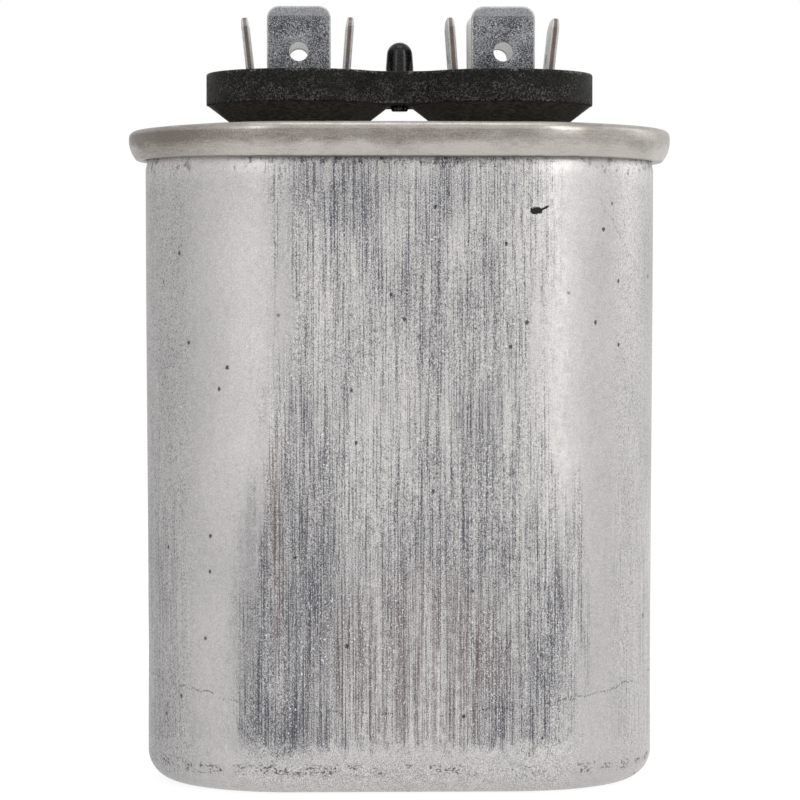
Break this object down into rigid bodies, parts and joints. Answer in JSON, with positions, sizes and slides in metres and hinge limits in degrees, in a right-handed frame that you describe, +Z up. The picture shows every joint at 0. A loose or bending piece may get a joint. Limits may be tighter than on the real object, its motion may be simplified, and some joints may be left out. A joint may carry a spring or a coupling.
{
  "type": "motor run capacitor",
  "caption": "Oval metal-can motor run capacitor with a seamed lid and a black terminal block that carries clusters of push-on tabs.",
  "frame": {"origin": "middle of the can's flat bottom", "axes": "+Z up through the terminals, X along the oval's length, -Y out of the flat front"},
  "size_m": [0.0548, 0.0332, 0.0777],
  "materials": {
    "raw_aluminium": "drawn, weathered",
    "tin_plate": "satin",
    "sealant": "matt",
    "black_moulding": "matt, dusty",
    "black_gloss": "gloss",
    "tab_plate": "dull tin",
    "rivet_plate": "dull tin",
    "gasket_rubber": "matt",
    "washer_plastic": "matt",
    "lug_brass": "satin",
    "fibre_board": "matt",
    "film_wrap": "gloss",
    "metallised_film": "satin",
    "core_plastic": "matt",
    "sprayed_zinc": "rough",
    "copper_strip": "satin",
    "sleeve_plastic": "matt",
    "cup_plastic": "matt"
  },
  "bodies": {
    "root": {"can": "raw_aluminium", "lid": "tin_plate", "seam_compound": "sealant", "terminal_block": "black_moulding", "centre_post": "black_gloss", "interrupter_plate": "fibre_board", "roll_wrap": "film_wrap", "film_roll": "metallised_film", "roll_core": "core_plastic", "top_end_spray": "sprayed_zinc", "bottom_end_spray": "sprayed_zinc", "short_lead": "copper_strip", "long_lead": "copper_strip", "lead_sleeve": "sleeve_plastic", "insulating_cup": "cup_plastic", "left_side_tabs": "tab_plate", "left_face_tabs": "tab_plate", "left_rivet": "rivet_plate", "left_gasket": "gasket_rubber", "left_washer": "washer_plastic", "left_lug": "lug_brass", "right_side_tabs": "tab_plate", "right_face_tabs": "tab_plate", "right_rivet": "rivet_plate", "right_gasket": "gasket_rubber", "right_washer": "washer_plastic", "right_lug": "lug_brass"}
  },
  "joints": []
}
